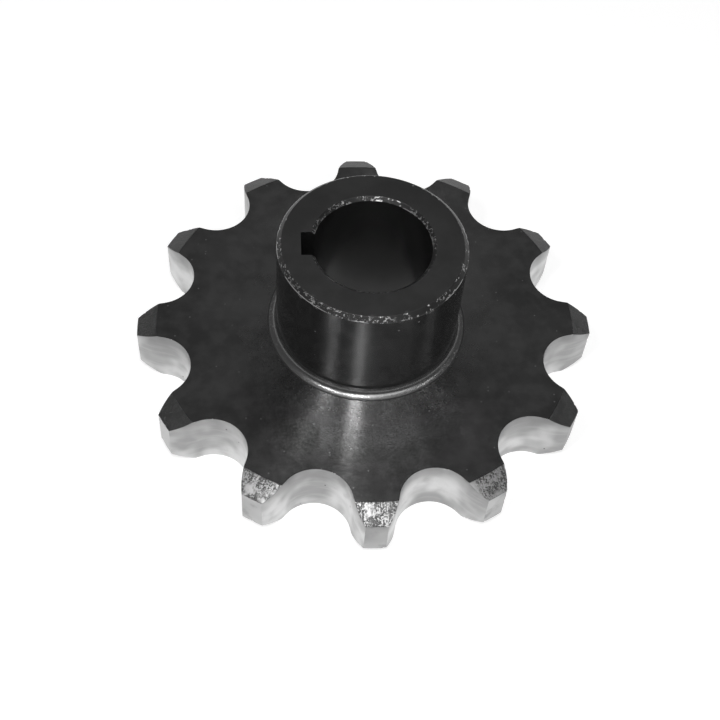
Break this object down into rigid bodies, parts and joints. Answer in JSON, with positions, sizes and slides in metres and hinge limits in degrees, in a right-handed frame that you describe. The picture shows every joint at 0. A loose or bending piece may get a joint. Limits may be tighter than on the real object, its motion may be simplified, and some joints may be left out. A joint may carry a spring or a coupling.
{
  "type": "chain sprocket",
  "caption": "Roller chain sprocket: toothed steel plate with a plain round hub on one side, a through bore and a square keyway.",
  "frame": {"origin": "on the bore's axis, in the flat back face of the toothed plate", "axes": "+Z along the bore, from the plate towards the hub's end; the keyway and one tooth point to -X"},
  "size_m": [0.104, 0.104, 0.0412],
  "materials": {
    "steel": "black oxide, with bare machined tooth flanks and tips"
  },
  "bodies": {
    "root": {"sprocket": "steel"}
  },
  "joints": []
}
